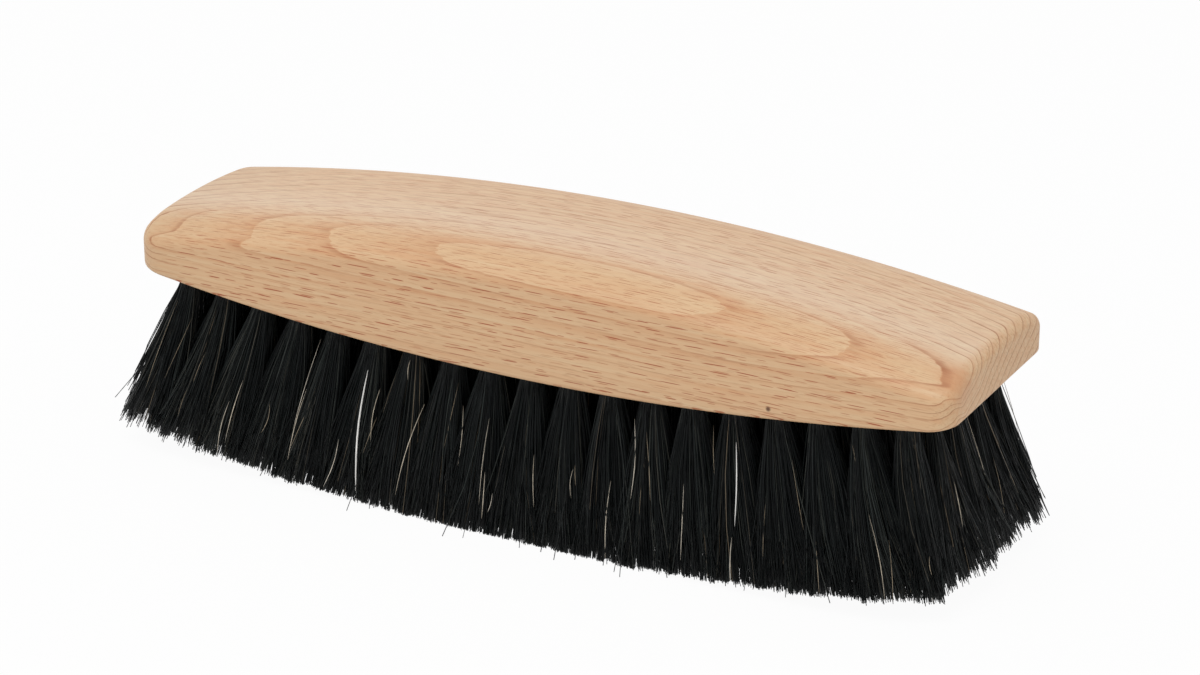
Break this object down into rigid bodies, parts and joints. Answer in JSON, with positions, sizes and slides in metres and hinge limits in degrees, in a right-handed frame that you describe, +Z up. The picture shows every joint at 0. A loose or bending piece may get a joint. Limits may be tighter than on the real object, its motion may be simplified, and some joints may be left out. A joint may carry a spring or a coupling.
{
  "type": "shoe shine brush",
  "caption": "Hand brush for shining shoes: a lens-shaped wooden block with splayed, flat-trimmed tufts of dark horsehair set in blind holes.",
  "frame": {"origin": "on the floor under the middle of the brush, at the lowest hair tips", "axes": "+X along the length of the block, +Y across it, +Z up from the hair tips to the wooden back"},
  "size_m": [0.1876, 0.0558, 0.0578],
  "materials": {
    "beech": "matt lacquered beech",
    "horsehair": "black horsehair, trimmed at the tips",
    "anchor_wire": "flat drawn wire"
  },
  "bodies": {
    "root": {"block": "beech", "tuft_rank_01": "horsehair", "tuft_rank_02": "horsehair", "tuft_rank_03": "horsehair", "tuft_rank_04": "horsehair", "tuft_rank_05": "horsehair", "tuft_rank_06": "horsehair", "tuft_rank_07": "horsehair", "tuft_rank_08": "horsehair", "tuft_rank_09": "horsehair", "tuft_rank_10": "horsehair", "tuft_rank_11": "horsehair", "tuft_rank_12": "horsehair", "tuft_rank_13": "horsehair", "tuft_rank_14": "horsehair", "tuft_rank_15": "horsehair", "tuft_rank_16": "horsehair", "tuft_rank_17": "horsehair", "tuft_rank_18": "horsehair", "tuft_rank_19": "horsehair", "anchor_rank_01": "anchor_wire", "anchor_rank_02": "anchor_wire", "anchor_rank_03": "anchor_wire", "anchor_rank_04": "anchor_wire", "anchor_rank_05": "anchor_wire", "anchor_rank_06": "anchor_wire", "anchor_rank_07": "anchor_wire", "anchor_rank_08": "anchor_wire", "anchor_rank_09": "anchor_wire", "anchor_rank_10": "anchor_wire", "anchor_rank_11": "anchor_wire", "anchor_rank_12": "anchor_wire", "anchor_rank_13": "anchor_wire", "anchor_rank_14": "anchor_wire", "anchor_rank_15": "anchor_wire", "anchor_rank_16": "anchor_wire", "anchor_rank_17": "anchor_wire", "anchor_rank_18": "anchor_wire", "anchor_rank_19": "anchor_wire"}
  },
  "joints": []
}
